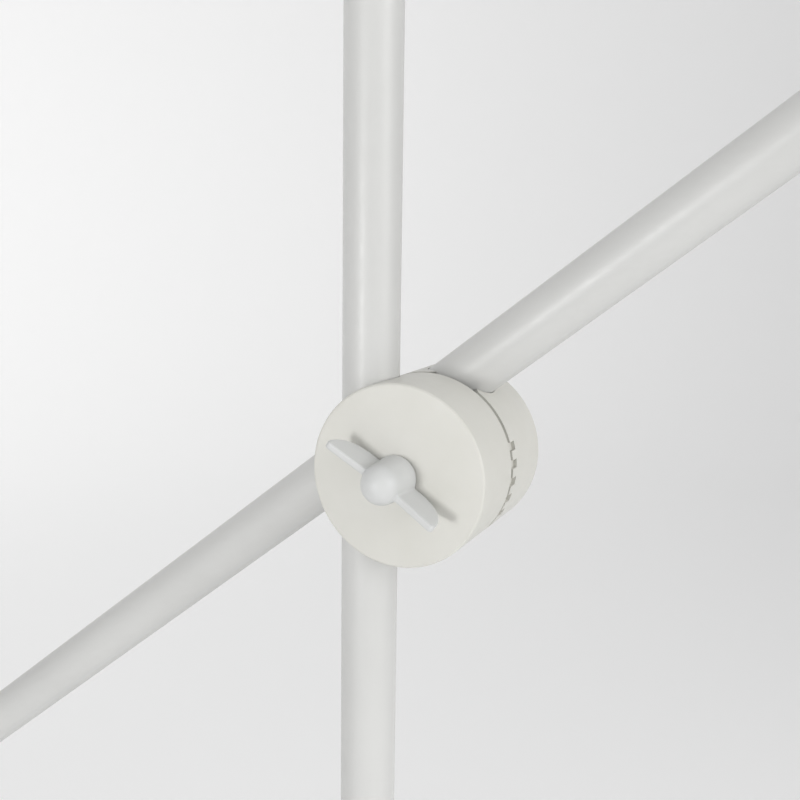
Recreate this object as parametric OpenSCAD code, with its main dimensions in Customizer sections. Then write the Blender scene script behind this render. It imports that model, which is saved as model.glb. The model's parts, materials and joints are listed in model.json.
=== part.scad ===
// Adjustable arm floor lamp: a weighted round base, an upright pole, and a long arm held
// against the pole by a pivot of two round discs. One wing nut draws the discs together.
// Millimetres. The pole stands on the Z axis, the floor is z = 0, and the pivot bolt lies
// along Y with its wing nut to the front, at -Y.

/* [Tubes] */
// Outside diameter of the pole and of the arm
tube_d = 25.4; // [20:0.1:32]
// Wall of the pole
pole_wall = 1.5; // [1:0.1:2.5]
// Wall of the arm
arm_wall = 1.2; // [0.8:0.1:2]
// Length of the pole above the base
pole_len = 1380; // [1250:10:1700]
// Length of the arm above the pivot
arm_front = 680; // [450:10:850]
// Length of the arm below the pivot
arm_back = 420; // [300:10:550]
// Slope of the arm above level, in degrees
arm_angle = 38.2; // [20:0.1:50]
// Height of the pivot bolt above the floor
pivot_z = 1050; // [900:10:1150]

/* [Pivot] */
// Wall of the nylon liner round each tube
liner_t = 0.5; // [0.4:0.1:1]
// Length of each liner
liner_len = 30; // [20:1:30]
// Gap between the mating faces of the two discs
disc_gap = 0.8; // [0.6:0.1:1.5]
// Thread diameter of the pivot bolt
bolt_d = 8; // [6:0.5:10]
// Plastic between the bolt hole and each tube's seat
boss_wall = 4.4; // [3.5:0.1:6]
// Plastic between each tube's seat and the rim of its disc
side_wall = 4.95; // [4:0.05:8]
// Plastic in front of the pole
front_wall = 6.1; // [5:0.1:10]
// Plastic behind the arm
back_wall = 11.2; // [10:0.1:16]
// Wall of each disc's cored-out rim
rim_wall = 4; // [3:0.5:5]
// Rounding of each disc's outer edge
edge_round = 1.2; // [0.5:0.1:2]
// Width of the step round the back disc's mating edge
step_w = 1.3; // [0.5:0.1:2]
// Depth of that step in from the rim
step_in = 2.4; // [1:0.1:2.8]

/* [Notches] */
// Number of notches in the back disc's rim
notch_count = 12; // [6:1:12]
// Angle from one notch to the next
notch_pitch = 11.5; // [9:0.5:12]
// Angle of the first notch below the arm
notch_start = 23.5; // [18:0.5:30]
// Width of a notch
notch_w = 3.9; // [2:0.1:5]
// Depth of a notch from the mating face
notch_depth = 6; // [3:0.5:9]
// Depth of a notch in from the rim
notch_in = 1.6; // [1:0.1:3]

/* [Wing nut] */
// Radius of the hub at its foot
hub_foot_r = 9.6; // [9:0.1:12]
// Radius of the hub's ball end
hub_ball_r = 8.7; // [8.2:0.1:11]
// Height of the ball end's centre above the disc
hub_h = 13.6; // [13:0.1:18]
// Reach of a wing's tip from the bolt
wing_reach = 28.6; // [20:0.1:36]
// Thickness of a wing
wing_t = 3.2; // [2.5:0.1:4.5]
// Turn of the wings from level
wing_turn = -32; // [-180:1:180]

/* [Base] */
// Diameter of the base
base_d = 280; // [250:5:360]
// Thickness of the iron weight
weight_t = 18; // [16:1:26]
// Wall of the spun steel cover
cover_wall = 1.2; // [0.8:0.1:2]
// Rounding of the cover's edge
cover_round = 9; // [4:0.5:12]
// Thickness of the felt pad
pad_t = 2; // [2:0.5:4]
// Thread diameter of the bolt in the base
base_bolt_d = 10; // [8:1:12]

/* [Head] */
// Diameter of the shade's rim
shade_d = 220; // [160:5:260]
// Height of the shade
shade_h = 113; // [90:1:150]
// Wall of the spun shade
shade_wall = 1.2; // [0.8:0.1:2]
// Diameter of the lamp holder's threaded body
holder_d = 39; // [36:0.5:44]
// Diameter of the bulb
bulb_d = 60; // [45:1:70]
// Height of the cup above the shade
cup_h = 84; // [84:1:110]
// Wall of the cup
cup_wall = 1.2; // [0.8:0.1:2]
// Distance from the tilt screw down to the cup
neck_len = 44; // [40:1:60]
// Diameter of the tilt screw
tilt_screw_d = 6; // [4:0.5:7]

/* [Hidden] */
$fn = 96;

// Clearances
fit = 0.05;          // running fit, on the radius
loose = 0.3;         // free clearance round a tube
cut = 1;             // how far a cut runs past a face

// Tubes and their seats in the discs
tube_r = tube_d / 2;
pole_in_r = tube_r - pole_wall;
arm_in_r = tube_r - arm_wall;
liner_in_r = tube_r + fit;
liner_out_r = liner_in_r + liner_t;
seat_r = liner_out_r + fit;
seat_len = liner_len + 2 * loose;
mouth_r = tube_r + loose;
tube_depth = seat_r;  // a tube's liner lies just below its disc's mating face

// Pivot bolt, its hex head and its washers
bolt_r = bolt_d / 2;
bolt_hole_r = bolt_r + fit;
hex_r = bolt_d * 0.94;          // corner radius of a standard hexagon head
hex_h = bolt_d * 0.66;          // height of a standard hexagon head
drop_in = 0.1;                  // clearance of a part let into a recess
hex_pocket_r = hex_r + 2 * drop_in;
washer_t = 1.5;
washer_r = hub_ball_r - drop_in;
bolt_proud = 11.2;              // bolt end above the front disc
thread_pitch = 1.25;
thread_turns = 8;
base_thread_turns = 12;

// Discs
tube_offset = bolt_hole_r + boss_wall + seat_r;
disc_r = tube_offset + seat_r + side_wall;
front_t = tube_depth + seat_r + front_wall;
back_t = tube_depth + seat_r + back_wall;
face_wall = 4;
trough_wall = 3;
flare_angle = 40;               // half the flared slot's angle, seen from the tube's axis
bevel = 0.5;                    // on the edge of the front disc's mating face
boss_r = bolt_hole_r + boss_wall + 0.6;
rib_t = 2;
rib_angles = [-45, 0, 45];
cap_r = hex_pocket_r + 2;
cap_t = 2;
head_floor = back_t - cap_t - hex_h - 2 * drop_in;
friction_washer_r = boss_r - 0.9;

// Release spring between the discs, round the bolt
spring_wire_r = 0.6;
spring_r = bolt_hole_r + spring_wire_r + 0.35;
spring_turns = 5;
spring_len = 14;
spring_end_gap = 0.2;
spring_pocket_r = spring_r + spring_wire_r + spring_end_gap;
spring_sides = 8;
spring_steps = 16;              // sections in one turn

// Places: the pole is on the Z axis
pivot_x = tube_offset;
pivot_y = tube_depth;
arm_y = disc_gap + tube_depth;  // arm axis behind the front disc's mating face

// Wing nut
nut_gap = 0.15;                 // below the insert
skirt_gap = 0.5;                // below the moulded hub and wings
insert_wall = 2.1;
insert_h = 11.6;
nut_bore_h = 12.4;
wing_front_h = 14.4;            // front edge of a wing at the hub
wing_rise = 2.8;                // rise of that edge out to the tip
wing_tip_r = 1.6;
wing_foot_r = 16;               // a wing's back edge leaves the disc here

// Base
base_r = base_d / 2;
cover_lift = 0.8;
weight_r = base_r - cover_wall - loose;
weight_top = pad_t + weight_t;
base_top = weight_top + cover_wall;
pad_r = weight_r - 4;
base_bolt_r = base_bolt_d / 2;
recess_r = base_bolt_r * 3.2;
recess_top = weight_top - 8;    // iron left above the bolt's recess
base_hex_r = base_bolt_d * 0.98;
base_hex_h = base_bolt_d * 0.64;
base_washer_r = recess_r - 1;
base_washer_t = 2;
plug_len = 32;
base_bolt_grip = 24;            // bolt in the plug
collar_r = tube_r + 11;
collar_h = 8;
pole_top = base_top + pole_len;
cap_skirt = 12;
cap_rise = 4;

// Lower end of the arm
end_cap_t = 3;
gland_bore_r = 3.6;
gland_r = 5.5;
gland_nut_r = 8.5;
gland_nut_h = 9;
gland_tail = 14;

// Tilt joint at the arm's upper end
pin_reach = 24;
ear_r = 11;
ear_t = 5;
tongue_t = 8.6;
slot_w = tongue_t + 0.4;
fork_half = slot_w / 2 + ear_t;
fork_collar = 3;
fork_plug = 24;
tilt_r = tilt_screw_d / 2;
tilt_head_r = tilt_r + 2.5;
tilt_head_h = 3.5;
knob_r = 9;
knob_h = 9;
knob_gap = 0.3;
knob_bore = 7;
knob_flutes = 12;
flute_r = 1.4;
flute_out = 0.6;                // flute's centre beyond the knob's edge
shoulder_r = 8;
shoulder_top = 29;              // below this the neck clears the fork when tilted in
stem_r = 4.9;
stem_grip = 11;
stem_nut_h = 5;
stem_nut_r = 8;

// Lamp holder, cup and switch, measured down from the tilt screw
holder_r = holder_d / 2;
cup_room = 1.3;                 // between the holder's body and the cup
cup_in_r = holder_r + cup_room;
cup_r = cup_in_r + cup_wall;
cup_round = 8;
cup_bottom = neck_len + cup_h;
holder_h = 48;
holder_flange = 8;
holder_tail = 14;               // thread below the cup, for the shade ring
holder_top = cup_bottom + holder_tail - holder_h;
holder_floor = 12;
socket_r = 14.2;                // E27 screw shell's seat
shell_t = 0.7;
shell_h = 24;
ring_wall = 7.5;
ring_t = 6;
switch_z = neck_len + 18;
button_r = 4.5;
button_hole_r = button_r + loose;
bezel_r = 7.5;
bezel_flange_r = 9;
bezel_proud = 2.4;
button_proud = 6;
button_stroke_room = 3;
bezel_inside = 1.3;             // how far the bezel reaches inside the cup
button_len = 13;
switch_w = 12;
switch_depth = 14;
switch_h = 18;

// Shade: a quarter ellipse from the crown's shoulder to the rim
crown_r = holder_r + 8.5;
shade_r = shade_d / 2;
shade_steps = 28;
bead_r = 1.6;                   // the rolled bead round the rim
bead_steps = 12;
bead_mouth = asin(shade_wall / 2 / bead_r);     // half the angle at which the wall meets it
wall_end = acos(bead_r * cos(bead_mouth) / shade_h);
rim_r = shade_r - bead_r + shade_wall / 2;      // the wall's outer radius at the rim

// Bulb
glass_t = 1;
bulb_r = bulb_d / 2;
bulb_cap_r = 13;
bulb_cap_h = 26;
bulb_cap_wall = 0.6;
bulb_neck_r = bulb_cap_r - bulb_cap_wall - fit;
contact_h = 2;
contact_r = 4.5;
bulb_cap_top = holder_top + holder_floor + 2 * contact_h;
bulb_neck_top = bulb_cap_top + bulb_cap_h - 6;
bulb_neck_low = bulb_cap_top + bulb_cap_h + 1;
bulb_centre = bulb_neck_low + bulb_r + 20;
bulb_blend = 35;                // degrees above the bulb's widest ring
bulb_pull = 12;                 // length of the blend curve's handles

tube_white = [0.86, 0.87, 0.87];
disc_white = [0.88, 0.87, 0.83];
nut_white = [0.85, 0.87, 0.90];
zinc = [0.70, 0.72, 0.74];
brass = [0.80, 0.66, 0.36];
iron = [0.25, 0.25, 0.26];
felt = [0.20, 0.20, 0.21];
nylon = [0.92, 0.91, 0.88];
opal = [0.97, 0.96, 0.92];
black_plastic = [0.10, 0.10, 0.11];

// ---- places ----

module at_pivot() {
    translate([pivot_x, pivot_y, pivot_z]) children();
}

// Local Z runs from the mating face out of the front, local Y up the pole.
module front_side() {
    at_pivot() rotate([90, 0, 0]) children();
}

// Local X runs up the arm.
module at_arm() {
    at_pivot() rotate([0, -arm_angle, 0]) children();
}

// Local Z runs from the mating face out of the back, local Y up the arm.
module back_side() {
    at_arm() translate([0, disc_gap, 0]) rotate([0, 90, 0]) mirror([0, 1, 0]) rotate([90, 0, 0]) children();
}

// Local Z runs up the arm's own axis, from a point s along it.
module along_arm(s) {
    at_arm() translate([s, arm_y, tube_offset]) rotate([0, 90, 0]) children();
}

// Origin at the tilt screw, with the head hanging straight down.
module at_head() {
    along_arm(arm_front + pin_reach) rotate([0, arm_angle - 90, 0]) children();
}

// ---- shared shapes ----

module tube(outer, wall, length) {
    difference() {
        cylinder(r = outer, h = length);
        translate([0, 0, -cut]) cylinder(r = outer - wall, h = length + 2 * cut);
    }
}

module ring(outer, inner, height) {
    tube(outer, outer - inner, height);
}

// A disc whose upper edge is rounded
module round_disc(r, h, edge) {
    rotate_extrude() {
        square([r - edge, h]);
        square([r, h - edge]);
        translate([r - edge, h - edge])
            intersection() {
                circle(r = edge);
                square(edge);
            }
    }
}

module hexagon(r, h) {
    cylinder(r = r, h = h, $fn = 6);
}

// A row of V grooves that stands for a screw thread, cut from z = 0 upwards
module thread_grooves(r, pitch, turns) {
    depth = 0.6 * pitch;
    rotate_extrude()
        for (i = [0 : turns - 1])
            polygon([[r - depth, (i + 0.5) * pitch], [r + cut, i * pitch - cut / 2],
                     [r + cut, (i + 1) * pitch + cut / 2]]);
}

// ---- base and pole ----

module base_pad() {
    color(felt) cylinder(r = pad_r, h = pad_t);
}

module base_weight() {
    color(iron)
        difference() {
            translate([0, 0, pad_t]) round_disc(weight_r, weight_t, cover_round - cover_wall);
            cylinder(r = recess_r, h = recess_top);
            cylinder(r = base_bolt_r + loose, h = weight_top + cut);
        }
}

module base_cover() {
    color(tube_white)
        difference() {
            translate([0, 0, cover_lift]) round_disc(base_r, base_top - cover_lift, cover_round);
            round_disc(base_r - cover_wall, weight_top, cover_round - cover_wall);
            cylinder(r = base_bolt_r + loose, h = base_top + cut);
        }
}

module base_washer() {
    color(zinc)
        translate([0, 0, recess_top - base_washer_t])
            ring(base_washer_r, base_bolt_r + loose, base_washer_t);
}

module base_bolt() {
    head_top = recess_top - base_washer_t;
    color(zinc)
        difference() {
            union() {
                translate([0, 0, head_top - base_hex_h]) hexagon(base_hex_r, base_hex_h);
                translate([0, 0, head_top - cut])
                    cylinder(r = base_bolt_r, h = base_top + base_bolt_grip - head_top + cut);
            }
            translate([0, 0, base_top + base_bolt_grip - base_thread_turns * thread_pitch])
                thread_grooves(base_bolt_r, thread_pitch, base_thread_turns);
        }
}

module pole_plug() {
    color(zinc)
        translate([0, 0, base_top])
            difference() {
                cylinder(r = pole_in_r - fit, h = plug_len);
                translate([0, 0, -cut])
                    cylinder(r = base_bolt_r + fit, h = base_bolt_grip + 2 * cut);
            }
}

module pole_collar() {
    color(disc_white)
        translate([0, 0, base_top])
            difference() {
                round_disc(collar_r, collar_h, collar_h - 2);
                translate([0, 0, -cut]) cylinder(r = tube_r + fit, h = collar_h + 2 * cut);
            }
}

module pole_tube() {
    color(tube_white) translate([0, 0, base_top]) tube(tube_r, pole_wall, pole_len);
}

module pole_cap() {
    color(disc_white)
        translate([0, 0, pole_top]) {
            round_disc(tube_r, cap_rise, cap_rise - 1);
            translate([0, 0, -cap_skirt]) ring(pole_in_r - fit, pole_in_r - 2, cap_skirt);
        }
}

module pole_liner() {
    color(nylon)
        translate([0, 0, pivot_z - liner_len / 2]) ring(liner_out_r, liner_in_r, liner_len);
}

// ---- pivot ----

// The bore through a disc where a tube lies, wider where the liner turns. A flared slot
// opens its whole length to the mating face.
module trough() {
    flare_depth = tube_depth + cut;
    flare_half = flare_depth * tan(flare_angle);
    translate([-tube_offset, 0, tube_depth])
        rotate([90, 0, 0]) {
            cylinder(r = mouth_r, h = 2 * disc_r, center = true);
            cylinder(r = seat_r, h = seat_len, center = true);
            linear_extrude(2 * disc_r, center = true)
                polygon([[0, 0], [-flare_half, -flare_depth], [flare_half, -flare_depth]]);
        }
}

// The hollow moulded beside the trough, round the bolt's boss and between the ribs
module core(depth) {
    core_x = mouth_r + trough_wall - tube_offset;
    difference() {
        intersection() {
            translate([0, 0, -cut]) cylinder(r = disc_r - rim_wall, h = depth + cut);
            translate([core_x, -disc_r, -cut]) cube([2 * disc_r, 2 * disc_r, depth + cut]);
        }
        cylinder(r = boss_r, h = depth + cut);
        for (a = rib_angles)
            rotate(a) translate([0, -rib_t / 2, notch_depth + cut]) cube([disc_r, rib_t, depth]);
    }
}

module disc_half(t) {
    difference() {
        round_disc(disc_r, t, edge_round);
        trough();
        core(t - face_wall);
        translate([0, 0, -cut]) cylinder(r = bolt_hole_r, h = t + 2 * cut);
    }
}

module front_disc() {
    color(disc_white)
        front_side()
            difference() {
                disc_half(front_t);
                rotate_extrude()
                    polygon([[disc_r - bevel - cut, -cut], [disc_r + cut, bevel + cut],
                             [disc_r + cut, -cut]]);
                translate([0, 0, front_t - washer_t])
                    cylinder(r = washer_r + drop_in, h = washer_t + cut);
                translate([0, 0, -cut]) cylinder(r = spring_pocket_r, h = spring_len + cut);
            }
}

module nut_washer() {
    color(zinc)
        front_side()
            translate([0, 0, front_t - washer_t]) ring(washer_r, bolt_hole_r, washer_t);
}

module friction_washer() {
    color(felt)
        front_side()
            translate([0, 0, fit - disc_gap])
                ring(friction_washer_r, bolt_hole_r, disc_gap - fit);
}

// Points of one section of the spring's wire, at angle a round the coil and height z
function spring_section(a, z) = [
    for (k = [0 : spring_sides - 1])
        let (b = 360 * k / spring_sides, d = spring_r + spring_wire_r * cos(b))
        [d * cos(a), d * sin(a), z + spring_wire_r * sin(b)]
];

module release_spring() {
    count = spring_turns * spring_steps;
    climb = spring_len - 2 * (spring_wire_r + spring_end_gap);
    points = [
        for (i = [0 : count])
            each spring_section(360 * i / spring_steps,
                                spring_wire_r + spring_end_gap + climb * i / count)
    ];
    walls = [
        for (i = [0 : count - 1], k = [0 : spring_sides - 1])
            let (n = (k + 1) % spring_sides, a = i * spring_sides, b = a + spring_sides)
            [a + k, b + k, b + n, a + n]
    ];
    first = [for (k = [0 : spring_sides - 1]) k];
    last = [for (k = [spring_sides - 1 : -1 : 0]) count * spring_sides + k];
    color(zinc) front_side() polyhedron(points, concat(walls, [first, last]));
}

// Outline of one wing, in reach from the bolt and height above the disc
function wing_outline() = let (
    tip = wing_front_h + wing_rise - wing_tip_r,
    tip_x = wing_reach - wing_tip_r,
    long = wing_reach - wing_foot_r,
    tall = tip - skirt_gap
) concat(
    [[0, skirt_gap], [0, wing_front_h]],
    [for (a = [80 : -20 : 0]) [tip_x + wing_tip_r * cos(a), tip + wing_tip_r * sin(a)]],
    [for (a = [-5 : -5 : -90]) [wing_foot_r + long * cos(a), tip + tall * sin(a)]]
);

module wings() {
    for (turn = [0, 180])
        rotate(turn)
            rotate([90, 0, 0])
                translate([0, 0, -wing_t / 2]) linear_extrude(wing_t) polygon(wing_outline());
}

module wing_nut() {
    color(nut_white)
        front_side() translate([0, 0, front_t])
            difference() {
                union() {
                    rotate_extrude()
                        polygon([[0, skirt_gap], [hub_foot_r, skirt_gap], [hub_ball_r, hub_h],
                                 [0, hub_h]]);
                    translate([0, 0, hub_h]) sphere(r = hub_ball_r);
                    rotate(wing_turn) wings();
                }
                translate([0, 0, -cut])
                    cylinder(r = bolt_hole_r + insert_wall, h = nut_bore_h + cut);
            }
}

module nut_insert() {
    color(brass)
        front_side()
            translate([0, 0, front_t + nut_gap])
                ring(bolt_hole_r + insert_wall, bolt_hole_r, insert_h);
}

module back_disc() {
    color(disc_white)
        back_side()
            difference() {
                disc_half(back_t);
                translate([0, 0, head_floor]) hexagon(hex_pocket_r, back_t);
                translate([0, 0, back_t - cap_t]) cylinder(r = cap_r + drop_in, h = cap_t + cut);
                translate([0, 0, -cut]) ring(disc_r + cut, disc_r - step_in, step_w + cut);
                for (k = [0 : notch_count - 1])
                    rotate(90 - notch_start - k * notch_pitch)
                        translate([disc_r - notch_in, -notch_w / 2, -cut])
                            cube([notch_in + cut, notch_w, notch_depth + cut]);
            }
}

module clamp_bolt() {
    length = head_floor + disc_gap + front_t + bolt_proud;
    color(zinc)
        back_side()
            difference() {
                translate([0, 0, head_floor]) {
                    hexagon(hex_r, hex_h);
                    translate([0, 0, -length]) cylinder(r = bolt_r, h = length + cut);
                }
                translate([0, 0, head_floor - length]) thread_grooves(bolt_r, thread_pitch, thread_turns);
            }
}

module back_cap() {
    color(disc_white) back_side() translate([0, 0, back_t - cap_t]) round_disc(cap_r, cap_t, 0.5);
}

// ---- arm ----

module arm_liner() {
    color(nylon) along_arm(-liner_len / 2) ring(liner_out_r, liner_in_r, liner_len);
}

module arm_tube() {
    color(tube_white) along_arm(-arm_back) tube(tube_r, arm_wall, arm_back + arm_front);
}

module arm_end_cap() {
    color(disc_white)
        along_arm(-arm_back)
            difference() {
                union() {
                    mirror([0, 0, 1]) round_disc(tube_r, end_cap_t, 1);
                    cylinder(r = arm_in_r - fit, h = cap_skirt);
                }
                translate([0, 0, -end_cap_t - cut])
                    cylinder(r = gland_r + fit, h = end_cap_t + cap_skirt + 2 * cut);
            }
}

module cord_gland() {
    outer_end = end_cap_t + gland_nut_h;
    color(black_plastic)
        along_arm(-arm_back)
            difference() {
                union() {
                    translate([0, 0, -end_cap_t]) cylinder(r = gland_r, h = end_cap_t + gland_tail);
                    mirror([0, 0, 1]) translate([0, 0, end_cap_t]) round_disc(gland_nut_r, gland_nut_h, 3);
                }
                translate([0, 0, -outer_end - cut])
                    cylinder(r = gland_bore_r, h = outer_end + gland_tail + 2 * cut);
            }
}

module fork_ear() {
    translate([-ear_r, slot_w / 2, 0]) cube([2 * ear_r, ear_t, pin_reach]);
    translate([0, slot_w / 2, pin_reach]) rotate([-90, 0, 0]) cylinder(r = ear_r, h = ear_t);
}

module arm_fork() {
    color(tube_white)
        along_arm(arm_front)
            difference() {
                union() {
                    translate([0, 0, -fork_plug]) cylinder(r = arm_in_r - fit, h = fork_plug + cut);
                    cylinder(r = tube_r, h = fork_collar);
                    intersection() {
                        cylinder(r = tube_r, h = pin_reach + ear_r);
                        union() {
                            fork_ear();
                            mirror([0, 1, 0]) fork_ear();
                        }
                    }
                }
                translate([0, 0, pin_reach])
                    rotate([90, 0, 0]) cylinder(r = tilt_r + fit, h = 2 * tube_d, center = true);
            }
}

module tilt_screw() {
    color(zinc)
        at_head() {
            translate([0, fork_half, 0]) rotate([-90, 0, 0]) round_disc(tilt_head_r, tilt_head_h, 1);
            translate([0, fork_half + cut, 0])
                rotate([90, 0, 0]) cylinder(r = tilt_r, h = 2 * fork_half + knob_gap + knob_bore);
        }
}

module tilt_knob() {
    color(disc_white)
        at_head()
            translate([0, -fork_half - knob_gap, 0])
                rotate([90, 0, 0])
                    difference() {
                        round_disc(knob_r, knob_h, 1.5);
                        translate([0, 0, -cut]) cylinder(r = tilt_r + fit, h = knob_bore + cut);
                        for (k = [0 : knob_flutes - 1])
                            rotate(360 * k / knob_flutes)
                                translate([knob_r + flute_out, 0, -cut])
                                    cylinder(r = flute_r, h = knob_h + 2 * cut);
                    }
}

// ---- head, measured down from the tilt screw ----

module head_tongue() {
    color(tube_white)
        at_head()
            difference() {
                union() {
                    rotate([90, 0, 0]) cylinder(r = ear_r, h = tongue_t, center = true);
                    translate([-tongue_t / 2, -tongue_t / 2, -shoulder_top - cut])
                        cube([tongue_t, tongue_t, shoulder_top + cut]);
                    translate([0, 0, -neck_len]) cylinder(r = shoulder_r, h = neck_len - shoulder_top);
                    translate([0, 0, -neck_len - stem_grip]) cylinder(r = stem_r, h = stem_grip + cut);
                }
                rotate([90, 0, 0]) cylinder(r = tilt_r + fit, h = 2 * tongue_t, center = true);
            }
}

module holder_cup() {
    color(tube_white)
        at_head()
            difference() {
                translate([0, 0, -cup_bottom]) round_disc(cup_r, cup_h, cup_round);
                translate([0, 0, -cup_bottom - cut])
                    round_disc(cup_in_r, cup_h - cup_wall + cut, cup_round - cup_wall);
                translate([0, 0, -neck_len - 2 * cup_wall])
                    cylinder(r = stem_r + fit, h = 2 * cup_wall + cut);
                translate([0, 0, -switch_z])
                    rotate([90, 0, 0]) cylinder(r = bezel_r + fit, h = cup_r + cut);
            }
}

module stem_nut() {
    color(zinc)
        at_head()
            translate([0, 0, -neck_len - cup_wall - stem_nut_h])
                difference() {
                    hexagon(stem_nut_r, stem_nut_h);
                    translate([0, 0, -cut]) cylinder(r = stem_r + fit, h = stem_nut_h + 2 * cut);
                }
}

module switch_bezel() {
    inner_end = cup_in_r - bezel_inside;
    color(black_plastic)
        at_head() translate([0, 0, -switch_z]) rotate([90, 0, 0])
            difference() {
                union() {
                    translate([0, 0, inner_end]) cylinder(r = bezel_r, h = cup_r - inner_end + fit);
                    translate([0, 0, cup_r + fit]) round_disc(bezel_flange_r, bezel_proud, 1);
                }
                translate([0, 0, inner_end - cut])
                    cylinder(r = button_hole_r, h = cup_r + bezel_proud - inner_end + 2 * cut);
            }
}

module switch_body() {
    front = cup_in_r - bezel_inside;
    color(black_plastic)
        at_head() translate([0, 0, -switch_z]) rotate([90, 0, 0])
            difference() {
                translate([-switch_w / 2, -switch_h / 2, front - switch_depth])
                    cube([switch_w, switch_h, switch_depth]);
                translate([0, 0, cup_r + button_proud - button_len - button_stroke_room])
                    cylinder(r = button_hole_r, h = cup_r);
            }
}

module switch_button() {
    color(nut_white)
        at_head() translate([0, 0, -switch_z]) rotate([90, 0, 0])
            translate([0, 0, cup_r + button_proud - button_len]) round_disc(button_r, button_len, 1);
}

module lamp_holder() {
    color(black_plastic)
        at_head() translate([0, 0, -holder_top - holder_h])
            difference() {
                union() {
                    cylinder(r = holder_r, h = holder_h);
                    translate([0, 0, holder_h - holder_flange])
                        cylinder(r = cup_in_r - fit, h = holder_flange);
                }
                translate([0, 0, -cut]) cylinder(r = socket_r, h = holder_h - holder_floor + cut);
            }
}

module contact_tab() {
    color(brass)
        at_head()
            translate([0, 0, -holder_top - holder_floor - contact_h]) cylinder(r = contact_r, h = contact_h);
}

module screw_shell() {
    color(brass)
        at_head()
            translate([0, 0, -holder_top - holder_floor - shell_h])
                ring(socket_r - fit, socket_r - shell_t, shell_h);
}

// Outer or inner face of the shade's curve, set in by t, down to the bead
function shade_curve(t) = [
    for (i = [0 : shade_steps])
        let (a = wall_end * i / shade_steps)
        [crown_r + (rim_r - crown_r - t) * sin(a), -shade_h + (shade_h - t) * cos(a)]
];

// The bead, clockwise from the wall's outer face to its inner face
function bead() = [
    for (i = [1 : bead_steps - 1])
        let (a = 90 - bead_mouth - (360 - 2 * bead_mouth) * i / bead_steps)
        [shade_r - bead_r + bead_r * cos(a), -shade_h + bead_r * sin(a)]
];

function reversed(list) = [for (i = [len(list) - 1 : -1 : 0]) list[i]];

module shade() {
    hole_r = holder_r + loose;
    color(tube_white)
        at_head() translate([0, 0, -cup_bottom])
            rotate_extrude()
                polygon(concat([[hole_r, -shade_wall], [hole_r, 0]], shade_curve(0), bead(),
                               reversed(shade_curve(shade_wall))));
}

module shade_ring() {
    color(black_plastic)
        at_head()
            translate([0, 0, -cup_bottom - shade_wall - ring_t])
                ring(holder_r + ring_wall, holder_r + drop_in, ring_t);
}

// Point at parameter u of a cubic curve through four control points
function bezier(p, u) =
    pow(1 - u, 3) * p[0] + 3 * u * pow(1 - u, 2) * p[1] + 3 * u * u * (1 - u) * p[2] + pow(u, 3) * p[3];

// The bulb's profile from its neck to its lowest point, set in by t
function bulb_curve(t) = let (
    r = bulb_r - t,
    neck = [bulb_neck_r - t, -bulb_neck_low],
    join = [r * cos(bulb_blend), r * sin(bulb_blend) - bulb_centre],
    handle = join + bulb_pull * [-sin(bulb_blend), cos(bulb_blend)]
) concat(
    [[bulb_neck_r - t, -bulb_neck_top]],
    [for (i = [0 : 8]) bezier([neck, neck - [0, bulb_pull], handle, join], i / 8)],
    [for (a = [bulb_blend - 5 : -5 : -85]) [r * cos(a), r * sin(a) - bulb_centre]],
    [[0, -r - bulb_centre]]
);

module bulb_glass() {
    color(opal) at_head() rotate_extrude() polygon(concat(bulb_curve(0), reversed(bulb_curve(glass_t))));
}

module bulb_cap() {
    color(zinc)
        at_head()
            translate([0, 0, -bulb_cap_top - bulb_cap_h])
                difference() {
                    cylinder(r = bulb_cap_r, h = bulb_cap_h);
                    translate([0, 0, -cut])
                        cylinder(r = bulb_cap_r - bulb_cap_wall, h = bulb_cap_h - bulb_cap_wall + cut);
                }
}

module bulb_contact() {
    color(brass)
        at_head() translate([0, 0, -bulb_cap_top]) cylinder(r = contact_r - 1, h = contact_h);
}

base_pad();
base_weight();
base_cover();
base_bolt();
base_washer();
pole_plug();
pole_collar();
pole_tube();
pole_cap();
pole_liner();
front_disc();
nut_washer();
friction_washer();
release_spring();
wing_nut();
nut_insert();
back_disc();
clamp_bolt();
back_cap();
arm_liner();
arm_tube();
arm_end_cap();
cord_gland();
arm_fork();
tilt_screw();
tilt_knob();
head_tongue();
stem_nut();
holder_cup();
switch_body();
switch_bezel();
switch_button();
lamp_holder();
screw_shell();
contact_tab();
shade();
shade_ring();
bulb_glass();
bulb_cap();
bulb_contact();
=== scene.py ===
"""Studio scene for the adjustable arm floor lamp. Metres, in the CAD model's own frame: the pole
stands on the Z axis, the floor is z = 0 and the wing nut faces -Y."""

import json
import math

import bmesh
import bpy
from mathutils import Matrix, Vector


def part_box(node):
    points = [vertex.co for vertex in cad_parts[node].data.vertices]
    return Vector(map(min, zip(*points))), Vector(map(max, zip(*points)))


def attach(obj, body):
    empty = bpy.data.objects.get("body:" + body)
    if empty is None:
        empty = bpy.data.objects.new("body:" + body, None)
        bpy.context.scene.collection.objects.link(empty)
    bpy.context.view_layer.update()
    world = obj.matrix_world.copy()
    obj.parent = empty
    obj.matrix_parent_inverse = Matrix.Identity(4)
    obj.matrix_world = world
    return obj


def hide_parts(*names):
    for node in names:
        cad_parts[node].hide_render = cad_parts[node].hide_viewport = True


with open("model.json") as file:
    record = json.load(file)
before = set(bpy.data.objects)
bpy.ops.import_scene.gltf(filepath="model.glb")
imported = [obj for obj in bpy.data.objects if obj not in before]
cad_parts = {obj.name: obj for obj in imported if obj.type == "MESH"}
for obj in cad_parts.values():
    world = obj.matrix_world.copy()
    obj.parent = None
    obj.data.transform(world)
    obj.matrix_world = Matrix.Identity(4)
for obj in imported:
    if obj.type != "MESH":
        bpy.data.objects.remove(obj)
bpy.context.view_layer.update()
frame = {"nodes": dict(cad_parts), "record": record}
nodes = frame["nodes"]
MM = 0.001

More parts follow.
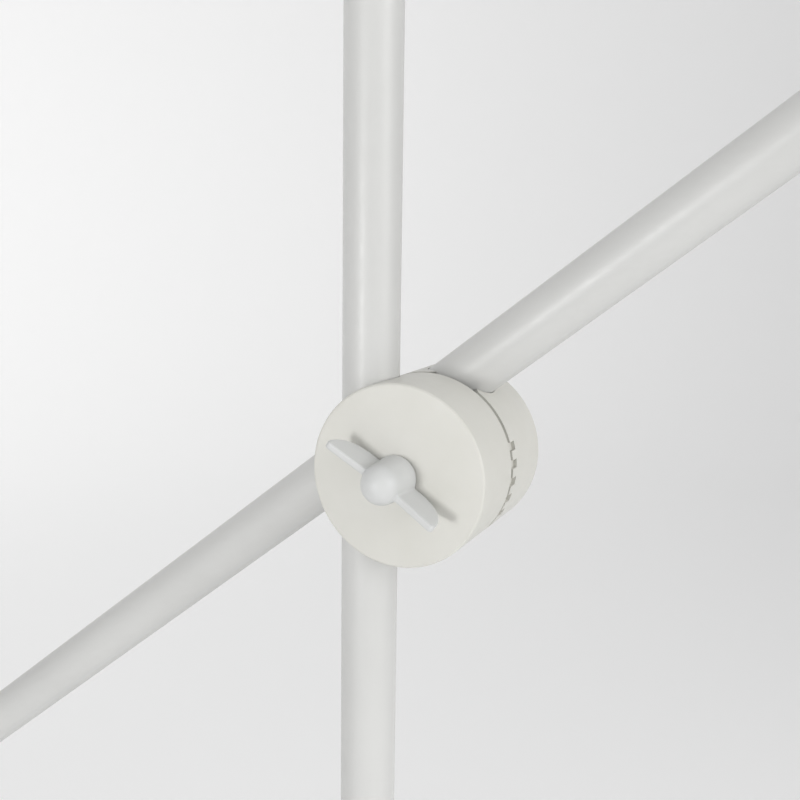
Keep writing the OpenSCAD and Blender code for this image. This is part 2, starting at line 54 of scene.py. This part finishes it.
# ---- camera: 25 degrees to the right of straight ahead, looking a little down on the pivot ----

CAMERA_AT = Vector((202.5, -402.6, 1162.5)) * MM
CAMERA_YAW = math.radians(25.07)
CAMERA_PITCH = math.radians(10.63)
CAMERA_ROLL = math.radians(0.79)
LENS = 46.73
SENSOR = 36.0
NEAREST = 10 * MM


def placed(name, data):
    """Puts an object that holds the data into the scene."""
    piece = bpy.data.objects.new(name, data)
    bpy.context.scene.collection.objects.link(piece)
    return piece


def add_camera():
    data = bpy.data.cameras.new("camera")
    data.lens = LENS
    data.sensor_width = SENSOR
    data.clip_start = NEAREST
    camera = placed("camera", data)
    ahead = Vector((
        -math.sin(CAMERA_YAW) * math.cos(CAMERA_PITCH),
        math.cos(CAMERA_YAW) * math.cos(CAMERA_PITCH),
        -math.sin(CAMERA_PITCH),
    ))
    level = Vector((math.cos(CAMERA_YAW), math.sin(CAMERA_YAW), 0))
    upright = level.cross(ahead)
    right = level * math.cos(CAMERA_ROLL) + upright * math.sin(CAMERA_ROLL)
    up = upright * math.cos(CAMERA_ROLL) - level * math.sin(CAMERA_ROLL)
    turn = Matrix((right, up, -ahead)).transposed().to_4x4()
    camera.matrix_world = Matrix.Translation(CAMERA_AT) @ turn
    bpy.context.scene.camera = camera


# ---- material helpers ----


class Paint:
    """A material under construction: a Principled shader and the nodes that feed it."""

    def __init__(self, name, **fixed):
        self.material = bpy.data.materials.new(name)
        self.material.use_nodes = True
        self.tree = self.material.node_tree
        self.shader = self.tree.nodes["Principled BSDF"]
        for socket, value in fixed.items():
            self.shader.inputs[socket.replace("_", " ")].default_value = value
        self.place = self.tree.nodes.new("ShaderNodeTexCoord").outputs["Object"]

    def link(self, out, into):
        self.tree.links.new(out, into)

    def stretched(self, scale):
        """The object's coordinates, multiplied along each axis."""
        mapping = self.tree.nodes.new("ShaderNodeMapping")
        mapping.inputs["Scale"].default_value = scale
        self.link(self.place, mapping.inputs["Vector"])
        return mapping.outputs["Vector"]

    def noise(self, size, detail=2.0, roughness=0.5, vector=None):
        """Noise whose features are about `size` metres across."""
        node = self.tree.nodes.new("ShaderNodeTexNoise")
        node.inputs["Scale"].default_value = 1 / size
        node.inputs["Detail"].default_value = detail
        node.inputs["Roughness"].default_value = roughness
        self.link(vector or self.place, node.inputs["Vector"])
        return node.outputs["Fac"]

    def cells(self, size):
        """Cells about `size` metres across, darkest at their centres."""
        node = self.tree.nodes.new("ShaderNodeTexVoronoi")
        node.inputs["Scale"].default_value = 1 / size
        self.link(self.place, node.inputs["Vector"])
        return node.outputs["Distance"]

    def spread(self, value, low, high, from_low=0.3, from_high=0.7):
        """Stretches a value's middle range, where noise lies, to run from low to high."""
        node = self.tree.nodes.new("ShaderNodeMapRange")
        node.inputs["From Min"].default_value = from_low
        node.inputs["From Max"].default_value = from_high
        node.inputs["To Min"].default_value = low
        node.inputs["To Max"].default_value = high
        self.link(value, node.inputs["Value"])
        return node.outputs["Result"]

    def mixed(self, factor, first, second):
        """A colour between two, first where the factor is 0."""
        node = self.tree.nodes.new("ShaderNodeMix")
        node.data_type = "RGBA"
        self.link(factor, node.inputs["Factor"])
        node.inputs["A"].default_value = (*first, 1)
        node.inputs["B"].default_value = (*second, 1)
        return node.outputs["Result"]

    def colour(self, output):
        self.link(output, self.shader.inputs["Base Color"])

    def roughness(self, output):
        self.link(output, self.shader.inputs["Roughness"])

    def bump(self, *layers):
        """Each layer is (height output, depth in metres)."""
        normal = None
        for height, depth in layers:
            node = self.tree.nodes.new("ShaderNodeBump")
            node.inputs["Distance"].default_value = depth
            self.link(height, node.inputs["Height"])
            if normal:
                self.link(normal, node.inputs["Normal"])
            normal = node.outputs["Normal"]
        self.link(normal, self.shader.inputs["Normal"])


def shade(value):
    """A linear colour that shows as the given sRGB colour, 0 to 255."""
    def channel(c):
        c /= 255
        return c / 12.92 if c <= 0.04045 else ((c + 0.055) / 1.055) ** 2.4
    return tuple(channel(c) for c in value)


# ---- materials ----


def powder_coat(name, light, dark):
    p = Paint(name, IOR=1.5)
    p.colour(p.mixed(p.spread(p.noise(0.06), 0, 1), light, dark))
    p.roughness(p.spread(p.noise(0.004), 0.36, 0.46))
    p.bump((p.noise(0.0016, 1.0), 0.000025), (p.noise(0.0004, 1.0), 0.000006))
    return p.material


def moulded_plastic(name, light, dark, low_rough, high_rough, waves, grain):
    """Plastic with long faint waves and a fine grain, each so many metres deep."""
    p = Paint(name, IOR=1.46)
    p.colour(p.mixed(p.spread(p.noise(0.025, 3.0), 0, 1), light, dark))
    p.roughness(p.spread(p.noise(0.004, 2.0), low_rough, high_rough))
    p.bump((p.noise(0.012, 1.0), waves), (p.noise(0.0005, 2.0), grain))
    return p.material


def zinc():
    p = Paint("zinc_steel", Metallic=1.0)
    blotches = p.spread(p.noise(0.003, 4.0), 0, 1)
    p.colour(p.mixed(blotches, shade((214, 216, 214)), shade((182, 186, 186))))
    p.roughness(p.spread(p.noise(0.0006, 2.0), 0.24, 0.42))
    p.bump((p.noise(0.0008, 3.0, 0.6), 0.00002))
    return p.material


def brass():
    p = Paint("brass", Metallic=1.0)
    blotches = p.spread(p.noise(0.004, 3.0), 0, 1)
    p.colour(p.mixed(blotches, shade((214, 184, 116)), shade((176, 146, 84))))
    p.roughness(p.spread(p.noise(0.001, 2.0), 0.22, 0.4))
    p.bump((p.noise(0.0007, 2.0), 0.000015))
    return p.material


def iron():
    p = Paint("iron", Metallic=0.6)
    blotches = p.spread(p.noise(0.006, 4.0), 0, 1)
    p.colour(p.mixed(blotches, shade((92, 92, 94)), shade((58, 58, 60))))
    p.roughness(p.spread(p.noise(0.003, 3.0), 0.55, 0.8))
    p.bump((p.cells(0.0022), 0.0002), (p.noise(0.0008, 3.0), 0.0001))
    return p.material


def felt(name, light, dark):
    p = Paint(name, Sheen_Weight=0.4, Sheen_Roughness=0.6)
    fibres = p.noise(0.0009, 4.0, 0.7, p.stretched((1.0, 1.0, 3.0)))
    p.colour(p.mixed(p.spread(fibres, 0, 1), light, dark))
    p.roughness(p.spread(fibres, 0.85, 1.0))
    p.bump((fibres, 0.0003))
    return p.material


def opal():
    p = Paint("opal_glass", IOR=1.5, Subsurface_Weight=0.35, Subsurface_Scale=0.004)
    p.shader.inputs["Subsurface Radius"].default_value = (1.0, 0.95, 0.85)
    p.colour(p.mixed(p.spread(p.noise(0.03), 0, 1), shade((248, 246, 240)), shade((240, 238, 231))))
    p.roughness(p.spread(p.noise(0.01, 2.0), 0.16, 0.24))
    p.bump((p.noise(0.02, 1.0), 0.00003))
    return p.material


TUBE_LIGHT, TUBE_DARK = shade((205, 205, 203)), shade((201, 201, 199))
DISC_LIGHT, DISC_DARK = shade((211, 210, 204)), shade((207, 206, 199))
NUT_LIGHT, NUT_DARK = shade((206, 207, 206)), shade((201, 202, 201))

FINISHES = {
    "tube_paint": powder_coat("tube_paint", TUBE_LIGHT, TUBE_DARK),
    "shade_paint": powder_coat("shade_paint", TUBE_LIGHT, TUBE_DARK),
    "disc_plastic": moulded_plastic(
        "disc_plastic", DISC_LIGHT, DISC_DARK, 0.36, 0.44, 0.00004, 0.000012
    ),
    "nut_plastic": moulded_plastic(
        "nut_plastic", NUT_LIGHT, NUT_DARK, 0.44, 0.50, 0.00001, 0.000004
    ),
    "nylon": moulded_plastic(
        "nylon", shade((232, 229, 220)), shade((224, 220, 210)), 0.4, 0.5, 0.00003, 0.00001
    ),
    "black_plastic": moulded_plastic(
        "black_plastic", shade((40, 40, 42)), shade((30, 30, 32)), 0.38, 0.5, 0.00003, 0.00001
    ),
    "zinc_steel": zinc(),
    "brass": brass(),
    "iron": iron(),
    "felt": felt("felt", shade((64, 64, 67)), shade((40, 40, 43))),
    "friction_felt": felt("friction_felt", shade((112, 106, 98)), shade((84, 78, 70))),
    "opal_glass": opal(),
}


def dress_cad_nodes():
    """Gives every CAD node the finish that the record names for it."""
    slots = {part["node"]: part["material_slot"] for part in frame["record"]["subparts"]}
    for name, node in nodes.items():
        node.data.materials.clear()
        node.data.materials.append(FINISHES[slots[name]])


# ---- wing nut: the moulded shape with its fillets and rounded edges ----

FACE_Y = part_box("front_disc")[0].y
FOOT_GAP = 0.5 * MM
HUB_FOOT = 9.6 * MM
BALL = 8.7 * MM
BALL_AT = 13.6 * MM
WING_REACH = 28.6 * MM
WING_THICK = 3.2 * MM
WING_TIP = 1.6 * MM
WING_FRONT = 14.4 * MM
WING_RISE = 2.8 * MM
WING_FOOT = 16 * MM
WING_TURN = math.radians(-32)
FOOT_LOW = -1.5 * MM            # the moulding starts here and is then trimmed at FOOT_GAP
VOXEL = 0.3 * MM
SOFTEN = 26                     # rounds of smoothing, which set the edges' radius
FOOT_EDGE = math.radians(60)
ARC_STEP = 6
HUB_SIDES = 90
HUB_MERGE = 1e-6


def arc(start, stop, step):
    """Angles in radians from start to stop, in whole steps of so many degrees."""
    count = round(abs(stop - start) / step)
    return [math.radians(start + (stop - start) * i / count) for i in range(count + 1)]


def wing_outline():
    """The same outline as the CAD wing's, with a foot to trim: reach from the bolt and height."""
    tip = WING_FRONT + WING_RISE - WING_TIP
    tip_x = WING_REACH - WING_TIP
    points = [(0.0, FOOT_LOW), (0.0, WING_FRONT)]
    points += [
        (tip_x + WING_TIP * math.cos(a), tip + WING_TIP * math.sin(a))
        for a in arc(78, 0, ARC_STEP)
    ]
    points += [
        (WING_FOOT + (WING_REACH - WING_FOOT) * math.cos(a), tip + (tip - FOOT_GAP) * math.sin(a))
        for a in arc(-ARC_STEP, -90, ARC_STEP)
    ]
    points.append((WING_FOOT, FOOT_LOW))
    return points


def add_wing(mesh, turn):
    """Extrudes the outline to the wing's thickness. Local Z stands out of the disc."""
    side = Vector((-math.sin(turn), math.cos(turn), 0)) * WING_THICK / 2
    out = Vector((math.cos(turn), math.sin(turn), 0))
    rims = [
        [
            mesh.verts.new(out * reach + Vector((0, 0, height)) + side * sign)
            for reach, height in wing_outline()
        ]
        for sign in (-1, 1)
    ]
    mesh.faces.new(rims[0])
    mesh.faces.new(reversed(rims[1]))
    count = len(rims[0])
    for i in range(count):
        j = (i + 1) % count
        mesh.faces.new((rims[0][j], rims[0][i], rims[1][i], rims[1][j]))


def lathe(mesh, profile, sides, merge):
    """Turns a profile of (radius, height) points about the Z axis."""
    points = [mesh.verts.new((r, 0, z)) for r, z in profile]
    edges = [mesh.edges.new(pair) for pair in zip(points, points[1:])]
    bmesh.ops.spin(
        mesh, geom=points + edges, axis=(0, 0, 1), cent=(0, 0, 0),
        angle=2 * math.pi, steps=sides, use_merge=True,
    )
    bmesh.ops.remove_doubles(mesh, verts=mesh.verts, dist=merge)


def add_hub(mesh):
    """The flared hub with its ball end."""
    flare = (HUB_FOOT - BALL) / (BALL_AT - FOOT_GAP) * (FOOT_GAP - FOOT_LOW)
    profile = [(0.0, FOOT_LOW), (HUB_FOOT + flare, FOOT_LOW)]
    profile += [(BALL * math.cos(a), BALL_AT + BALL * math.sin(a)) for a in arc(0, 84, ARC_STEP)]
    profile.append((0.0, BALL_AT + BALL))
    lathe(mesh, profile, HUB_SIDES, HUB_MERGE)


def applied(piece, kind, **settings):
    """Adds a modifier and bakes it into the mesh."""
    modifier = piece.modifiers.new(kind.lower(), kind)
    for key, value in settings.items():
        setattr(modifier, key, value)
    evaluated = piece.evaluated_get(bpy.context.evaluated_depsgraph_get())
    shaped = bpy.data.meshes.new_from_object(evaluated)
    piece.modifiers.clear()
    piece.data = shaped


def trimmed_foot(piece):
    """Cuts the moulding off square just above the disc."""
    mesh = bmesh.new()
    mesh.from_mesh(piece.data)
    everything = mesh.verts[:] + mesh.edges[:] + mesh.faces[:]
    cut = bmesh.ops.bisect_plane(
        mesh, geom=everything, plane_co=(0, 0, FOOT_GAP), plane_no=(0, 0, 1), clear_inner=True,
    )
    rim = [item for item in cut["geom_cut"] if isinstance(item, bmesh.types.BMEdge)]
    bmesh.ops.holes_fill(mesh, edges=rim)
    mesh.to_mesh(piece.data)
    mesh.free()


def add_wing_nut():
    """Builds the nut standing on Z, then lays it on the front disc in place of the CAD's."""
    mesh = bmesh.new()
    add_hub(mesh)
    add_wing(mesh, 0)
    add_wing(mesh, math.pi)
    bmesh.ops.recalc_face_normals(mesh, faces=mesh.faces)
    data = bpy.data.meshes.new("wing_nut_moulding")
    mesh.to_mesh(data)
    mesh.free()
    piece = placed("wing_nut_moulding", data)
    applied(piece, "REMESH", mode="VOXEL", voxel_size=VOXEL)
    applied(piece, "SMOOTH", factor=0.5, iterations=SOFTEN)
    trimmed_foot(piece)
    stand = Matrix.Rotation(math.pi / 2, 4, "X") @ Matrix.Rotation(WING_TURN, 4, "Z")
    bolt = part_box("clamp_bolt")
    centre = (bolt[0] + bolt[1]) / 2
    piece.data.transform(Matrix.Translation((centre.x, FACE_Y, centre.z)) @ stand)
    piece.data.shade_smooth()
    piece.data.set_sharp_from_angle(angle=FOOT_EDGE)
    piece.data.materials.append(FINISHES["nut_plastic"])
    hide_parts("wing_nut")
    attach(piece, "wing")


# ---- stage ----

STAGE_RADIUS = 7.0
STAGE_BEND = 3.0
STAGE_HEIGHT = 5.0
STAGE_SIDES = 96
BEND_STEPS = 16
STAGE_MERGE = 1e-5
# The floor's near colour is a painted shadow: darker within NEAR of the base, fading to the plain
# floor by FAR.
FLOOR_PAINTED_SHADOW, FLOOR_FAR = shade((230, 230, 230)), shade((238, 238, 238))
NEAR, FAR = 0.4, 1.5            # distances from the base where those two colours lie
GLOW_LEFT, GLOW_RIGHT = 0.32, 0.01
GLOW_X = (-5.0, 0.5)
GLOW_FLOOR, GLOW_HIGH = 1.0, 0.8
GLOW_Z = (0.0, 2.5)


def stage_paint():
    """Pale paint that glows a little, more to the left, as a lit studio wall does, with a painted
    shadow that darkens the floor round the base.
    """
    p = Paint("stage")
    distance = p.tree.nodes.new("ShaderNodeVectorMath")
    distance.operation = "LENGTH"
    p.link(p.place, distance.inputs[0])
    # Painted shadow: the floor colour darkens towards the lamp's base.
    p.colour(p.mixed(p.spread(distance.outputs["Value"], 0, 1, NEAR, FAR), FLOOR_PAINTED_SHADOW, FLOOR_FAR))
    p.roughness(p.spread(p.noise(0.3), 0.7, 0.8))
    p.shader.inputs["Emission Color"].default_value = (1, 1, 1, 1)
    across = p.tree.nodes.new("ShaderNodeSeparateXYZ")
    p.link(p.place, across.inputs["Vector"])
    glow = p.tree.nodes.new("ShaderNodeMath")
    glow.operation = "MULTIPLY"
    p.link(p.spread(across.outputs["X"], GLOW_LEFT, GLOW_RIGHT, *GLOW_X), glow.inputs[0])
    p.link(p.spread(across.outputs["Z"], GLOW_FLOOR, GLOW_HIGH, *GLOW_Z), glow.inputs[1])
    p.link(glow.outputs["Value"], p.shader.inputs["Emission Strength"])
    return p.material


def add_stage():
    """A pale floor that curves up into a round wall a long way behind the lamp."""
    profile = [(0.0, 0.0), (STAGE_RADIUS - STAGE_BEND, 0.0)]
    for i in range(1, BEND_STEPS + 1):
        a = math.pi / 2 * i / BEND_STEPS
        profile.append((
            STAGE_RADIUS - STAGE_BEND + STAGE_BEND * math.sin(a),
            STAGE_BEND - STAGE_BEND * math.cos(a),
        ))
    profile.append((STAGE_RADIUS, STAGE_HEIGHT))
    mesh = bmesh.new()
    lathe(mesh, profile, STAGE_SIDES, STAGE_MERGE)
    data = bpy.data.meshes.new("stage")
    mesh.to_mesh(data)
    mesh.free()
    data.shade_smooth()
    data.materials.append(stage_paint())
    placed("stage", data)


# ---- light ----

PIVOT = (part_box("front_disc")[0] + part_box("front_disc")[1]) / 2

# Direction from the pivot, distance, size and power of each light
KEY = ((-0.22, -1.0, -0.02), 2.3, 0.4, 17.5)
SIDE = ((0.97, -0.1, 0.3), 2.4, 1.4, 34)
WORLD_STRENGTH = 0.67

FLAG_X = -0.8
FLAG_Y = (-1.0, 0.2)
FLAG_HEIGHT = 2.2


def add_lamp(name, direction, distance, size, power):
    """A square soft light that stands off the pivot in the given direction and faces it."""
    data = bpy.data.lights.new(name, "AREA")
    data.size = size
    data.energy = power
    light = placed(name, data)
    away = Vector(direction).normalized()
    light.location = PIVOT + away * distance
    light.rotation_euler = away.to_track_quat("Z", "Y").to_euler()
    light.visible_camera = False


def add_flag():
    """A grey card beside the pole, unseen by the camera, that shapes the tubes' left edges."""
    front, back = FLAG_Y
    outline = ((front, 0), (back, 0), (back, FLAG_HEIGHT), (front, FLAG_HEIGHT))
    corners = [(FLAG_X, y, z) for y, z in outline]
    data = bpy.data.meshes.new("flag")
    data.from_pydata(corners, [], [(0, 1, 2, 3)])
    p = Paint("flag", Roughness=0.9)
    p.colour(p.mixed(p.noise(0.1), shade((182, 182, 182)), shade((172, 172, 172))))
    data.materials.append(p.material)
    flag = placed("flag", data)
    flag.visible_camera = False
    flag.visible_shadow = False


def add_light():
    world = bpy.data.worlds.new("world")
    bpy.context.scene.world = world
    world.use_nodes = True
    background = world.node_tree.nodes["Background"]
    background.inputs["Color"].default_value = (1, 1, 1, 1)
    background.inputs["Strength"].default_value = WORLD_STRENGTH
    add_lamp("key", *KEY)
    add_lamp("side", *SIDE)


add_camera()
dress_cad_nodes()
add_wing_nut()
add_stage()
add_flag()
add_light()
bpy.context.scene.view_settings.view_transform = "Standard"
